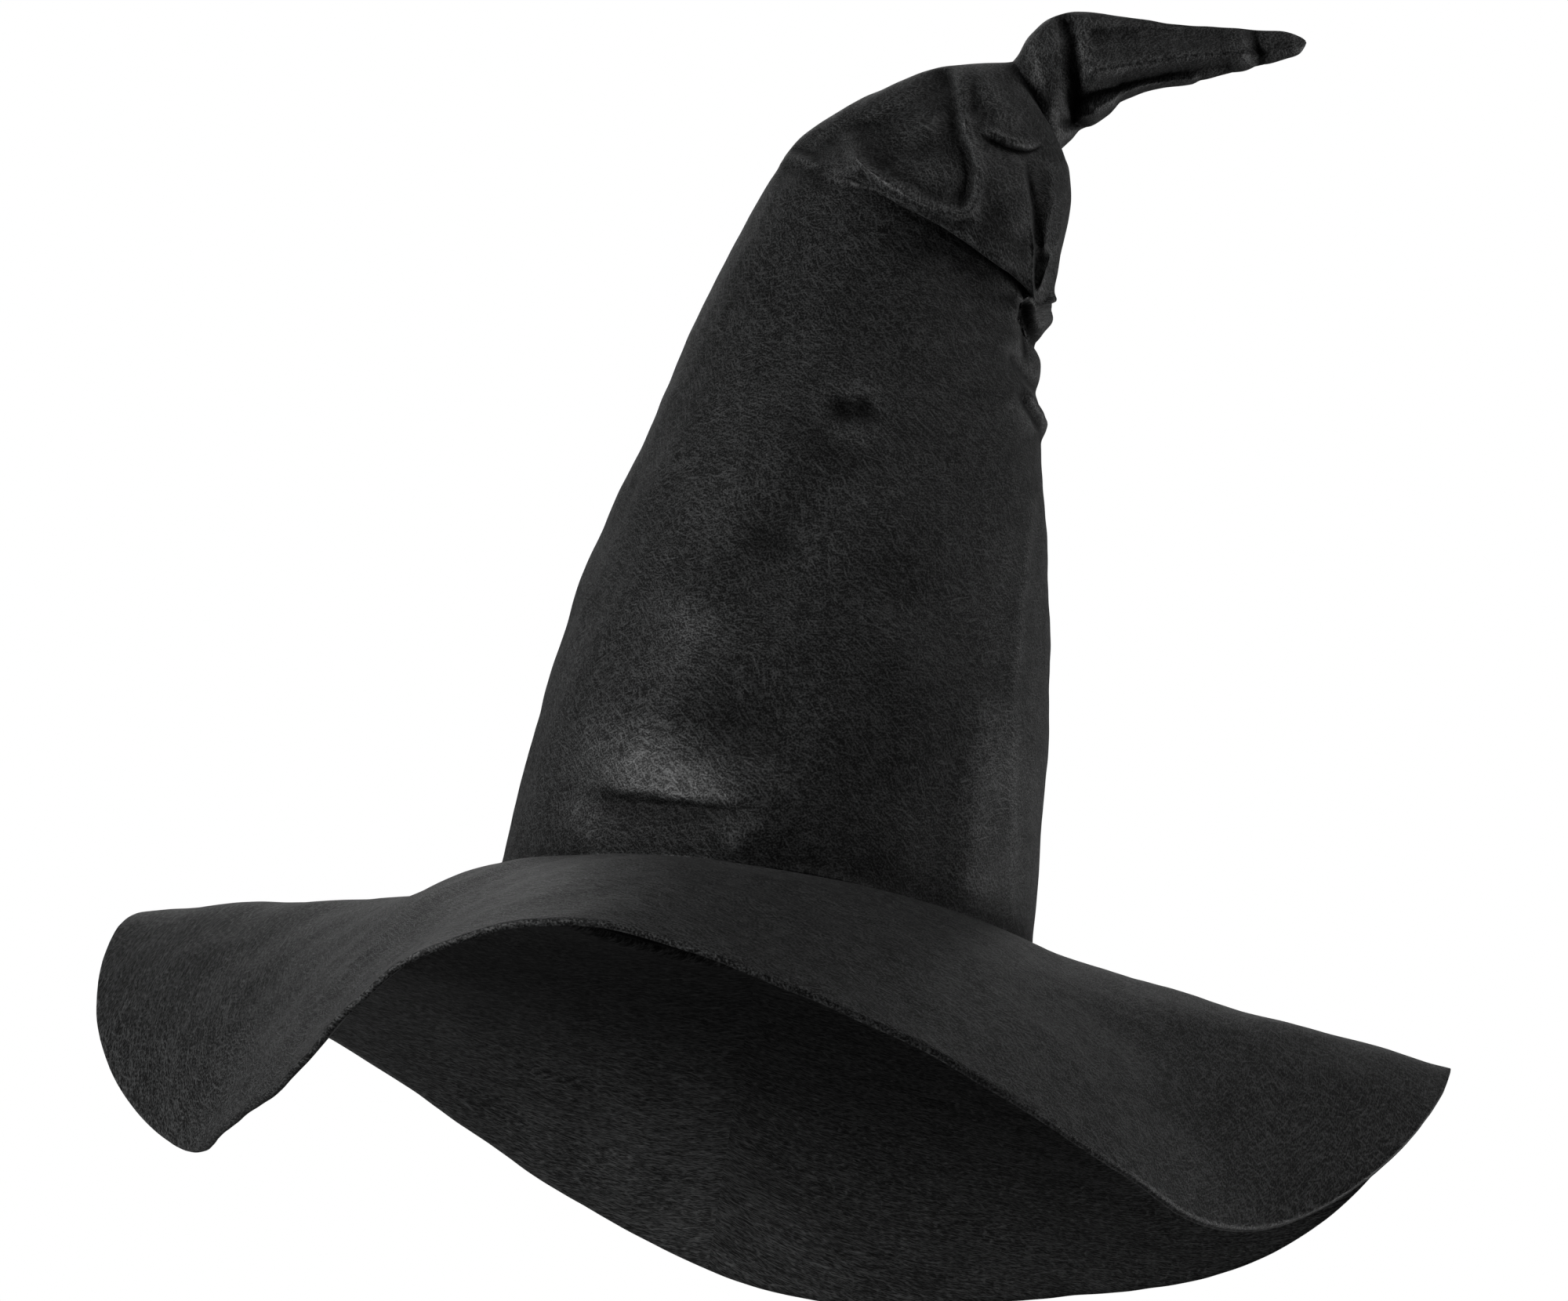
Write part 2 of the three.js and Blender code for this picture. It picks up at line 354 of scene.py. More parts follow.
def mesh_object(name, verts, faces, uvs, material):
    """A mesh in metres from points in mm, with one uv for each face corner."""
    data = bpy.data.meshes.new(name)
    data.from_pydata((verts * MM).tolist(), [], faces.tolist())
    layer = data.uv_layers.new(name=CLOTH_UV)
    layer.data.foreach_set("uv", uvs.astype(np.float32).ravel())
    data.materials.append(material)
    data.shade_smooth()
    obj = bpy.data.objects.new(name, data)
    bpy.context.scene.collection.objects.link(obj)
    return obj


def lengths_along(grid, axis):
    """Running length along one axis of a grid, from zero."""
    step = np.linalg.norm(np.diff(grid, axis=axis), axis=2)
    pad = [(0, 0), (0, 0)]
    pad[axis] = (1, 0)
    return np.pad(np.cumsum(step, axis=axis), pad)


def grow(values, reach):
    """The largest value within reach points, in rows and columns."""
    out = values.copy()
    for _ in range(reach):
        rows = np.pad(out, ((1, 1), (0, 0)), mode="edge")
        out = np.maximum(out, np.maximum(rows[:-2], rows[2:]))
        out = np.maximum(out, np.maximum(np.roll(out, 1, 1), np.roll(out, -1, 1)))
    return out


def soften(values, times):
    """Evens the values out with their neighbours, this many times."""
    for _ in range(times):
        rows = np.pad(values, ((1, 1), (0, 0)), mode="edge")
        values = (rows[:-2] + 2 * values + rows[2:]) / 4
        values = (np.roll(values, 1, 1) + 2 * values + np.roll(values, -1, 1)) / 4
    return values


def painted_light_of(grid):
    """Painted light: how many times brighter the felt's colour is painted on the folds that stand proud, and
    darker in the hollows as painted shade: 1 where it is neither.
    """
    smooth = np.stack([soften(grid[..., k], 26) for k in range(3)], -1)
    crest = np.einsum("ijk,ijk->ij", grid - smooth, surface_normals(grid))
    return np.clip(2 ** (crest / PAINTED_LIGHT_RISE), *PAINTED_LIGHT_RANGE)


def inside_of(outer, plain, thick):
    """The inner face of a creased sheet: a smooth one, far enough in to clear every crease."""
    normals = surface_normals(plain)
    sunk = np.maximum(0, -np.einsum("ijk,ijk->ij", outer - plain, normals))
    return plain - normals * (thick + soften(grow(sunk, 8), 16))[..., None]


def nearest_column(azimuths, azimuth):
    """Which column lies nearest an azimuth."""
    away = np.angle(np.exp(1j * (azimuths - azimuth)))
    return int(np.argmin(np.abs(away)))


def face_corners(values):
    """The four corner values of each face between the points of a grid."""
    return np.stack([values[:-1, :-1], values[:-1, 1:], values[1:, 1:], values[1:, :-1]], -1)


def closed_sheet(name, outer, inner, azimuths, thick, material, seam=SEAM_AT, painted_light=None):
    """A sheet that goes right round, closed by its two cut edges. Both faces are (rows, columns, 3) in mm.

    Its own lengths, in metres, are its uvs: u runs both ways from the front as far as the seam.
    painted_light, if given, is painted light and shade for the felt's colour, stored on the outer face, and
    is 1 elsewhere.
    """
    rows, cols = outer.shape[:2]
    seam_column = nearest_column(azimuths, seam)
    front_column = (nearest_column(azimuths, FRONT_AT) - seam_column) % cols
    outer = np.roll(outer, -seam_column, axis=1)
    inner = np.roll(inner, -seam_column, axis=1)
    grid = np.concatenate([outer, inner[::-1]], axis=0)
    total = 2 * rows
    verts = grid.reshape(-1, 3)
    r, c = np.meshgrid(np.arange(total), np.arange(cols), indexing="ij")
    r1, c1 = (r + 1) % total, (c + 1) % cols
    faces = np.stack([r * cols + c, r * cols + c1, r1 * cols + c1, r1 * cols + c], -1).reshape(-1, 4)

    wrapped = np.concatenate([outer, outer[:, :1]], axis=1)
    u = lengths_along(wrapped, 1) * MM
    u -= u[:, front_column:front_column + 1]
    v = lengths_along(outer, 0).mean(1) * MM
    back = v[-1] + thick * MM
    v = np.concatenate([v, back + v[-1] - v[::-1], [back + v[-1] + thick * MM]])
    u = np.concatenate([u, u[::-1], u[:1]])
    v = np.repeat(v[:, None], cols + 1, 1)
    uvs = np.stack([face_corners(u), face_corners(v)], -1).reshape(-1, 2)
    sheet = mesh_object(name, verts, faces, uvs, material)
    # Painted light and shade for the felt's colour: brighter on folds, darker in hollows, 1 where none is
    # painted.
    with_painted_light = np.ones((total, cols))
    if painted_light is not None:
        with_painted_light[:rows] = np.roll(painted_light, -seam_column, axis=1)
    layer = sheet.data.attributes.new("painted_light", "FLOAT", "POINT")
    layer.data.foreach_set("value", with_painted_light.astype(np.float32).ravel())
    return sheet


# ---------------------------------------------------------------- felt
FIBRE_TONES = (0.635, 0.81)       # relief at which a fibre is darkest and lightest
FIBRE_SHADES = (0.1, 4.6)         # how many times the felt's shade it is there
SHINE_TONES = (0.63, 0.83)        # relief at which it shines least and most
SHINE_LEVELS = (0.2, 0.8)


def felt_material(name, shade, sheen, coarse):
    """Needle-punched felt: long fibres laid three ways over a fine grain, with a soft nap, and light and
    shade painted into its colour and shine from a stored attribute.
    """
    mat = bpy.data.materials.new(name)
    mat.use_nodes = True
    nodes, links = mat.node_tree.nodes, mat.node_tree.links
    bsdf = nodes["Principled BSDF"]
    bsdf.inputs["Roughness"].default_value = 0.6
    bsdf.inputs["Sheen Weight"].default_value = sheen
    bsdf.inputs["Sheen Roughness"].default_value = 0.45
    coord = nodes.new("ShaderNodeUVMap")
    coord.uv_map = CLOTH_UV

    def noise(scale, detail, place):
        node = nodes.new("ShaderNodeTexNoise")
        node.inputs["Scale"].default_value = scale
        node.inputs["Detail"].default_value = detail
        links.new(place, node.inputs["Vector"])
        return node

    sway = noise(16, 2, coord.outputs["UV"])
    drift = nodes.new("ShaderNodeVectorMath")
    drift.operation = "MULTIPLY_ADD"
    drift.inputs[1].default_value = (0.03, 0.03, 0)
    links.new(sway.outputs["Color"], drift.inputs[0])
    links.new(coord.outputs["UV"], drift.inputs[2])

    def fibres(angle, fine, long, seed):
        """Streaks at an angle, whose direction wanders with the drift."""
        turn = nodes.new("ShaderNodeVectorRotate")
        turn.rotation_type = "Z_AXIS"
        turn.inputs["Angle"].default_value = angle
        links.new(drift.outputs[0], turn.inputs["Vector"])
        stretch = nodes.new("ShaderNodeMapping")
        stretch.inputs["Scale"].default_value = (long / coarse, fine / coarse, 1)
        stretch.inputs["Location"].default_value = (seed, seed * 1.7, 0)
        links.new(turn.outputs[0], stretch.inputs["Vector"])
        streak = noise(1, 3, stretch.outputs[0])
        streak.inputs["Roughness"].default_value = 0.6
        return streak.outputs["Fac"]

    def combine(operation, a, b):
        """One sum of two values, each a number or an output."""
        node = nodes.new("ShaderNodeMath")
        node.operation = operation
        for socket, value in zip(node.inputs, (a, b)):
            if isinstance(value, (int, float)):
                socket.default_value = value
            else:
                links.new(value, socket)
        return node.outputs[0]

    streaks = combine("MAXIMUM", fibres(0.5, 1500, 240, 3), fibres(0.9, 1700, 280, 11))
    streaks = combine("MAXIMUM", streaks, fibres(-0.2, 1800, 300, 23))
    grain = noise(2200 / coarse, 4, coord.outputs["UV"]).outputs["Fac"]
    cloud = noise(60, 3, coord.outputs["UV"]).outputs["Fac"]
    tuft = noise(620, 2, drift.outputs[0]).outputs["Fac"]
    relief = combine("ADD", combine("MULTIPLY", streaks, 0.65), combine("MULTIPLY", grain, 0.5))
    relief = combine("ADD", relief, combine("MULTIPLY", tuft, 0.07))
    tone = combine("ADD", relief, combine("MULTIPLY", cloud, 0.07))
    ramp = nodes.new("ShaderNodeValToRGB")
    stops = ramp.color_ramp.elements
    for stop, position, times in zip(stops, FIBRE_TONES, FIBRE_SHADES):
        stop.position = position
        stop.color = (*(times * c for c in shade), 1)
    links.new(tone, ramp.inputs["Fac"])
    # Painted light: the colour and the shine are scaled by a stored attribute, brighter as a painted
    # highlight on the folds and darker as painted shade in the hollows.
    painted_light_attribute = nodes.new("ShaderNodeAttribute")
    painted_light_attribute.attribute_name = "painted_light"
    with_painted_light = nodes.new("ShaderNodeVectorMath")
    with_painted_light.operation = "SCALE"
    links.new(ramp.outputs["Color"], with_painted_light.inputs[0])
    links.new(painted_light_attribute.outputs["Fac"], with_painted_light.inputs["Scale"])
    links.new(with_painted_light.outputs[0], bsdf.inputs["Base Color"])

    shine = nodes.new("ShaderNodeMapRange")
    shine.inputs["From Min"].default_value, shine.inputs["From Max"].default_value = SHINE_TONES
    shine.inputs["To Min"].default_value, shine.inputs["To Max"].default_value = SHINE_LEVELS
    links.new(tone, shine.inputs["Value"])
    links.new(combine("MULTIPLY", shine.outputs[0], painted_light_attribute.outputs["Fac"]), bsdf.inputs["Specular IOR Level"])

    bump = nodes.new("ShaderNodeBump")
    bump.inputs["Strength"].default_value = 0.9
    bump.inputs["Distance"].default_value = 0.0003 * coarse
    links.new(relief, bump.inputs["Height"])
    links.new(bump.outputs[0], bsdf.inputs["Normal"])
    return mat


# ---------------------------------------------------------------- crown
CROWN_RINGS = [                   # left x, z, right x, z, half depth
    (-88.0, -1.0, 87.0, -1.0, 105.5),
    (-86.4, 6, 85.6, 6, 103.4),
    (-84.4, 30, 85.0, 30, 101.5),
    (-82.3, 60, 82.8, 60, 97.5),
    (-77.2, 90, 79.3, 90, 91),
    (-70.5, 120, 75.0, 120, 83),
    (-63.3, 150, 70.2, 148, 73),
    (-55.5, 178, 65.5, 171, 64),
    (-47.5, 206, 61.4, 187, 56),
    (-39.5, 234, 60.0, 201, 51),
    (-33.5, 250, 62.5, 213, 49),
    (-27.5, 260, 63.0, 226, 47),
    (-20.0, 267, 63.3, 239, 44),
    (-10.0, 275.5, 63.2, 249, 40),
    (2.0, 283.5, 62.6, 257, 34),
    (14.5, 290, 61.5, 263.0, 28),
    (26.5, 294.0, 59.0, 267.0, 22),
    (37.0, 296.5, 55.0, 271.0, 15),
    (42.5, 300.0, 57.0, 279.5, 12),
]
FOLD_RING = 10                    # the ring that the fold runs along
FOLD_REACH = 32                   # mm above and below it that the rise dies away in
FOLD_RISE = [                     # azimuth, how far the fold runs above its ring there, mm
    (-160, -3), (-130, -6), (-90, -4), (-50, -3), (-28, -4), (-18, 3), (-8, 14), (4, 20), (35, 13),
    (90, 2), (150, 0),
]
FOLD_DEPTH = [                    # azimuth, share of the full lap
    (-175, 0.1), (-150, 0.1), (-128, 0.3), (-108, 0.75), (-90, 1), (-50, 1), (-26, 0.9), (-10, 0.4),
    (10, 0.2), (45, 0.3), (90, 0.4), (140, 0.25),
]
FOLD_PROFILE = [                  # mm above the fold: how far the felt slides up, and stands out
    (-26, 0, 0), (-14, 0.4, -0.4), (-6, 1.5, -1.5), (-3, 3.0, -2.8), (-1.4, 4.2, -3.4), (0, 3.8, -3.0),
    (1.2, 1.8, -1.6), (2.4, -1.2, -0.6), (3.6, -4.2, 0.0), (4.6, -5.9, 0.9), (5.6, -6.2, 2.2),
    (6.8, -5.6, 3.2), (9, -3.8, 3.9), (14, -1.6, 3.8), (24, -0.3, 2.4), (40, 0, 0.6), (60, 0, 0),
]


def crown_creases(s, above):
    """The folds of the crown's front, as seen from the front eye."""
    s.swell([(-36, 248), (-28, 250), (-20, 250)], -3.0, 4.5)
    s.only(smooth_step(3.5, 7, above))
    top_facets(s)
    flap_and_pocket(s)
    s.only(smooth_step(-1.5, -6, above))
    gather_creases(s)
    slack_creases(s)


def top_facets(s):
    """A lit strip along the top, the valley under it, and the three-cornered facet."""
    s.swell([(-27, 254), (-12, 264), (0, 271), (9, 278.5), (16, 287)], -4.2, 5.2)
    s.swell([(-12, 262), (-9, 253)], 1.6, 3.2)
    s.swell([(3, 261.5), (11, 263.5), (18, 268), (21, 276)], -4.4, 8)
    s.swell([(-8, 257), (-2, 252.5), (4.5, 249.3), (11, 246), (18.5, 243.6), (26, 243)], 4.4, 3.0)
    right_wall = [(24, 280), (25, 272), (28.5, 266), (31, 260), (31.6, 253), (30.6, 246.5), (26, 242.5)]
    s.lap(right_wall, 5.4, 1.6, 5.5, 6, 0.15, 0.15, 3.4)
    s.swell([(21, 290), (23, 283), (24.5, 276)], 2.2, 2.6)


def flap_and_pocket(s):
    """The lobe under the tip, the pocket below it, the upright crease and the narrow flap beside it."""
    s.swell([(31, 289), (35, 282), (42, 277)], 2.0, 5)
    s.lap([(29, 271.5), (35, 271), (41, 269.5), (47, 269.5), (51, 272.5)], 1.8, 2.8, 5, 3.4, 0.3, 0.2, 2)
    s.swell([(36, 260), (41, 254), (46, 244)], 1.0, 5)
    upright = [(57.2, 214), (55.8, 225), (55.3, 234), (53.3, 242)]
    upright += [(51, 249), (48.6, 255), (46.3, 262), (46, 267)]
    s.lap(upright, 2.6, 3.0, 9, 3.4, 0.08, 0.25)
    s.swell([(57, 263), (59, 250), (58.5, 238)], 2.2, 3.4)
    s.edge([(62.5, 266), (63.5, 254), (63, 243), (60.5, 232), (57, 220)], 1.8, 1.4)


def gather_creases(s):
    """Creases that run into the side seam under the flap."""
    s.edge([(49, 225), (53, 221.5), (57, 216)], 2.0, 1.5)
    s.lap([(56, 196), (54.2, 204), (52.5, 211.5), (50.5, 220)], 1.8, 2.6, 5, 3.4, 0.3, 0.3)
    s.swell([(60, 224), (59.5, 217)], -1.5, 3.2)
    s.swell([(61, 210), (63.5, 207.5)], 2.4, 3.2)
    s.lap([(66, 172.5), (61.8, 177.5), (57, 182.5), (53, 187)], 2.0, 2.6, 5, 3.5)


def slack_creases(s):
    """The dimple, the sag fold low on the wearer's right, and the side seam."""
    s.swell([(1, 171.2), (6.5, 172.3)], -2.4, 5.2)
    s.swell([(-2, 156), (-8, 142), (-14, 126)], -2.8, 13)
    s.swell([(30, 195), (27, 150), (30, 110)], 1.6, 22)
    s.swell([(-60, 45), (-40, 47), (-15, 44)], 4.6, 15)
    s.swell([(-46, 60), (-38, 92)], 5.0, 19)
    sag = [(-64, 37), (-54, 34.3), (-38, 34.5), (-24, 35.5), (-14, 37), (-4, 43)]
    s.lap(sag, 0.5, 3.0, 6, 7, 0.3, 0.45, 2.4)
    s.swell([(-67, 27), (-58, 19), (-40, 16.5), (-22, 20), (-6, 30)], 0.6, 6)
    s.edge([(66, 150), (69, 85), (74, 55), (79, 16)], 0.9, 1.6)
    s.swell([(66, 76), (65, 47), (68, 27)], 2.2, 12)


def crown_back(s, above):
    """Plainer folds behind, as seen from the back eye; there +x is still the wearer's left."""
    s.only(smooth_step(3.5, 7, above))
    s.swell([(-15, 264), (8, 258), (30, 254)], -3.0, 6)
    s.edge([(-6, 270), (14, 263), (40, 262)], 2.2, 3.4)
    s.edge([(10, 246), (18, 256), (34, 276)], 2.0, 3.4)
    s.only(smooth_step(-1.5, -6, above))
    s.swell([(-10, 180), (6, 150), (2, 120)], -2.6, 15)
    s.swell([(40, 62), (5, 52), (-30, 58)], 2.4, 16)
    s.lap([(-44, 40), (-20, 34), (10, 33), (40, 38)], 1.8, 2.0, 12, 7, 0.35, 0.35)


def crown_gathers(s):
    """Puckers at the side seam, where the flop drags on it, drawn round the hat."""
    s.bulge([(-30, 206), (-14, 202), (10, 203)], -3.6, 2.8)
    s.bulge([(-34, 189), (-14, 186), (12, 187)], -1.2, 3.4)
    s.bulge([(-22, 214), (-5, 212), (14, 214)], 3.2, 3.6)
    s.bulge([(-26, 178), (-14, 175.5), (6, 176)], 2.4, 3.2)


def fold_over(grid, above, azimuths):
    """Laps the upper crown over the lower one along the fold."""
    depth = round_table(FOLD_DEPTH, azimuths)[None, :, None]
    curve = through(FOLD_PROFILE, 12)
    slide = np.interp(above, curve[:, 0], curve[:, 1])[:, None, None]
    lift = np.interp(above, curve[:, 0], curve[:, 2])[:, None, None]
    way_up = np.gradient(grid, axis=0)
    way_up /= np.linalg.norm(way_up, axis=2, keepdims=True)
    return grid + (way_up * slide + surface_normals(grid) * lift) * depth


def crown_spacing(above):
    """Rings lie close together at the fold, close above it and wider below, mm."""
    near = smooth_step(6, 14, abs(above))
    away = 0.62 if above > 0 else 0.62 + 0.7 * smooth_step(-30, -90, above)
    return 0.28 + (away - 0.28) * near


def make_crown(material):
    """The crown as far as the tip crease, and what the trims inside it need to follow it."""
    azimuths = round_columns(420, 0.5, FRONT_AT)
    rows, above = ring_rows(CROWN_RINGS, crown_spacing, FOLD_RING)
    grid = tube(rows, azimuths)
    grid[..., 2] += round_table(FOLD_RISE, azimuths)[None, :] * np.exp(-(above / FOLD_REACH) ** 2)[:, None]
    plain = grid
    gathered = Sculpt(grid, azimuths, FRONT_EYE)
    crown_gathers(gathered)
    grid = fold_over(gathered.result(), above, azimuths)
    for draw, eye in ((crown_creases, FRONT_EYE), (crown_back, BACK_EYE)):
        s = Sculpt(grid, azimuths, eye)
        draw(s, above)
        grid = s.result()
    # Painted light: the crown's folds are painted brighter and its hollows darker.
    painted_light = painted_light_of(grid)
    grid = grid + surface_normals(grid) * uneven(grid, [(0.7, 70), (0.35, 28), (0.08, 9)])[..., None]
    inner = inside_of(grid, plain, FELT)
    crown = closed_sheet("crown_felt", grid, inner, azimuths, FELT, material, painted_light=painted_light)
    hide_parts("crown_lower", "crown_upper")
    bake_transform(crown)
    return crown, inner, azimuths, above


TIP_RINGS = [                     # top x, z, underside x, z, half depth
    (35.5, 294.0, 53.5, 266.5, 15.5),
    (38.6, 299.3, 57.5, 270.0, 17.5),
    (41.5, 306.5, 60.8, 274.5, 19.0),
    (46.5, 312.8, 63.5, 278.3, 19.0),
    (54.5, 317.3, 68.5, 281.5, 17.5),
    (64.0, 318.1, 72.8, 286.5, 15.5),
    (73.0, 317.6, 76.5, 291.0, 13.5),
    (84.0, 318.2, 85.5, 296.2, 11.5),
    (97.0, 319.3, 99.0, 300.8, 9.0),
    (109.0, 320.2, 112.0, 306.5, 6.5),
    (117.0, 320.6, 120.0, 310.0, 5.0),
    (125.0, 321.9, 127.0, 313.2, 3.8),
    (130.5, 321.5, 131.5, 315.5, 2.6),
    (133.0, 320.6, 133.3, 318.2, 1.2),
    (133.6, 319.8, 133.65, 319.4, 0.2),
]


def tip_creases(s):
    """The tip is pinched where it leaves the crown, and folded flat along its length."""
    s.swell([(53.5, 313), (55.5, 306), (57.5, 298), (59, 290), (59.5, 282)], -4.6, 3.4)
    s.edge([(57, 309), (59.3, 300), (60, 290), (60, 281)], -1.6, 1.4)
    s.swell([(44, 304), (48, 294), (52, 284)], 1.6, 4)
    s.swell([(66, 299), (80, 303.5), (96, 308.5), (112, 312.5)], 4.6, 4.0)
    s.swell([(64, 310), (84, 314), (104, 317)], -2.2, 3.6)
    s.edge([(62, 288), (75, 296.5), (90, 302), (108, 308)], -2.8, 2.2)
    s.swell([(67, 286), (80, 295), (98, 301)], 1.4, 1.8)
    s.edge([(62, 282.5), (68, 284.5), (73, 288)], 1.2, 1.0)
    s.edge([(62, 279.5), (67, 281.5), (71.5, 285)], -1.2, 1.0)
    s.swell([(115.5, 319), (117, 315), (118, 311)], -1.4, 2.0)
    s.swell([(122, 316), (129, 318.5)], 1.0, 2.6)


def make_tip(material):
    """The tip, from inside the crown's upper edge to its closed end."""
    azimuths = round_columns(180, 0.3, FRONT_AT)
    rows, _ = ring_rows(TIP_RINGS, lambda above: 0.6)
    grid = tube(rows, azimuths)
    plain = grid
    for eye in (FRONT_EYE, BACK_EYE):
        s = Sculpt(grid, azimuths, eye)
        tip_creases(s)
        grid = s.result()
    # Painted light: the tip's folds are painted brighter and its hollows darker.
    painted_light = painted_light_of(grid)
    grid = grid + surface_normals(grid) * uneven(grid, [(0.25, 25), (0.08, 8)])[..., None]
    inner = inside_of(grid, plain, TIP_FELT)
    shrink = np.clip(rows[:, 4] / 8, 0, 1)[:, None, None]
    middle = grid.mean(axis=1, keepdims=True)
    inner = middle + (inner - middle) * shrink + (grid - middle) * (1 - shrink) * 0.5
    tip = closed_sheet("tip_felt", grid, inner, azimuths, TIP_FELT, material, painted_light=painted_light)
    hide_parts("crown_tip")
    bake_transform(tip)
    return tip


# ---------------------------------------------------------------- brim
DROOP_BASE = 14                   # mm
DROOP_CURVE = 1.35                # how late across its width the brim starts to fall
DROOP_WAVES = [                   # azimuth and half width in degrees, drop in mm
    (-16, 77, 90), (85, 39, 65), (198, 33, 90), (-2, 23, -87), (158, 13, -23), (229, 16, 24),
]


def rim_drop(azimuths):
    """How far the raw edge hangs below the seam at each azimuth, mm."""
    total = np.full_like(azimuths, float(DROOP_BASE))
    for at, wide, drop in DROOP_WAVES:
        away = np.degrees(np.angle(np.exp(1j * (azimuths - math.radians(at)))))
        total += drop * np.exp(-(away / wide) ** 2)
    return total


def make_brim(material):
    """The brim, with the allowance inside its seam turned up into the crown as a collar."""
    azimuths = round_columns(540, 0.25, FRONT_AT)
    turn = np.radians(np.linspace(0, 90, 7))
    flat = np.linspace(-2, BRIM_WIDTH, 68)
    out = np.concatenate([np.full(4, -COLLAR_INSET), COLLAR_BEND * (1 - np.cos(turn)) - COLLAR_INSET, flat])
    up = np.concatenate([np.linspace(COLLAR_HEIGHT, 2, 4), COLLAR_BEND * (1 - np.sin(turn)), 0 * flat])
    out, up = out[:, None], up[:, None]
    beyond = np.maximum(out, 0)
    down = rim_drop(azimuths)[None, :] * (beyond / BRIM_WIDTH) ** DROOP_CURVE
    run = np.sqrt(np.maximum(beyond ** 2 - down ** 2, 0)) + np.minimum(out, 0)
    c, s = np.cos(azimuths)[None, :], np.sin(azimuths)[None, :]
    grid = np.stack([(OPEN_X + run) * c, (OPEN_Y + run) * s, up - SEAM_GAP - down], 2)
    top = grid[::-1]
    waves = uneven(top, [(0.8, 90), (0.3, 30), (0.06, 9)]) * smooth_step(-2, 20, out)[::-1]
    top = top + surface_normals(top) * waves[..., None]
    under = top - surface_normals(top) * FELT
    brim = closed_sheet("brim_felt", top, under, azimuths, FELT, material, BACK_AT)
    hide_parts("brim")
    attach(brim, "hat")
    return brim


# ---------------------------------------------------------------- trims
def slab(name, grid, thick, material):
    """A strip of cloth given its thickness, from the points of its middle surface."""
    rows, cols = grid.shape[:2]
    out = surface_normals(grid, closed=False) * thick / 2
    verts = np.concatenate([(grid + out).reshape(-1, 3), (grid - out).reshape(-1, 3)])
    n = np.arange(rows * cols).reshape(rows, cols)
    face = face_corners(n).reshape(-1, 4)
    rim = np.concatenate([n[0, :-1], n[:-1, -1], n[-1, :0:-1], n[:0:-1, 0]])
    after = np.roll(rim, -1)
    sides = np.stack([after, rim, rim + n.size, after + n.size], -1)
    faces = np.concatenate([face, face[:, ::-1] + n.size, sides])
    uv = np.stack([lengths_along(grid, 1), lengths_along(grid, 0)], -1).reshape(-1, 2) * MM
    return mesh_object(name, verts, faces, np.concatenate([uv, uv])[faces].reshape(-1, 2), material)


def thread_run(path, outward, closed):
    """One length of thread along a path, whose outward directions square to it are known."""
    ahead = np.roll(path, -1, 0) - np.roll(path, 1, 0) if closed else np.gradient(path, axis=0)
    ahead /= np.linalg.norm(ahead, axis=1)[:, None]
    side = np.cross(ahead, outward)
    angles = np.arange(THREAD_SIDES) * 2 * math.pi / THREAD_SIDES
    verts = path[:, None] + THREAD_R * (np.cos(angles)[None, :, None] * outward[:, None]
                                        + np.sin(angles)[None, :, None] * side[:, None])
    count = len(path)
    rows = np.arange(count if closed else count - 1)[:, None]
    k = np.arange(THREAD_SIDES)[None, :]
    after, k1 = (rows + 1) % count, (k + 1) % THREAD_SIDES
    here, beyond = rows * THREAD_SIDES, after * THREAD_SIDES
    faces = np.stack([here + k, here + k1, beyond + k1, beyond + k], -1).reshape(-1, 4)
    if not closed:
        last = (count - 1) * THREAD_SIDES
        start_caps = np.array([[3, 2, 1, 0], [5, 4, 3, 0]])
        end_caps = last + np.array([[0, 1, 2, 3], [0, 3, 4, 5]])
        faces = np.concatenate([faces, start_caps, end_caps])
    done = np.arange(count).repeat(THREAD_SIDES) * STITCH_STEP
    round_it = np.tile(np.arange(THREAD_SIDES), count)
    return verts.reshape(-1, 3), faces, np.stack([round_it * 0.0002, done * MM], 1)[faces].reshape(-1, 2)


def stitch_ring(name, node, inset, height, reach, material):
    """A zigzag line of stitches right round the opening."""
    count = int(2 * math.pi * (OPEN_X + OPEN_Y) / 2 / STITCH_STEP)
    turns = round(count * STITCH_STEP / STITCH)
    theta = np.arange(count) * 2 * math.pi / count
    c, s = np.cos(theta), np.sin(theta)
    swing = np.clip(1.5 * np.sin(theta * turns), -1, 1)
    path = np.stack([(OPEN_X - inset) * c, (OPEN_Y - inset) * s, height + reach * swing], 1)
    outward = np.stack([c * (OPEN_Y - inset), s * (OPEN_X - inset), 0 * c], 1)
    outward /= np.linalg.norm(outward, axis=1)[:, None]
    thread = mesh_object(name, *thread_run(path, outward, True), material)
    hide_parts(node)
    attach(thread, "hat")
    return thread


def pick(grid, values, wanted, axis):
    """The grid's points where values, which rise along the axis, have the wanted values."""
    place = np.interp(wanted, values, np.arange(len(values)))
    low = np.minimum(place.astype(int), len(values) - 2)
    share = np.expand_dims(place - low, (1, 2) if axis == 0 else (0, 2))
    return np.take(grid, low, axis) * (1 - share) + np.take(grid, low + 1, axis) * share


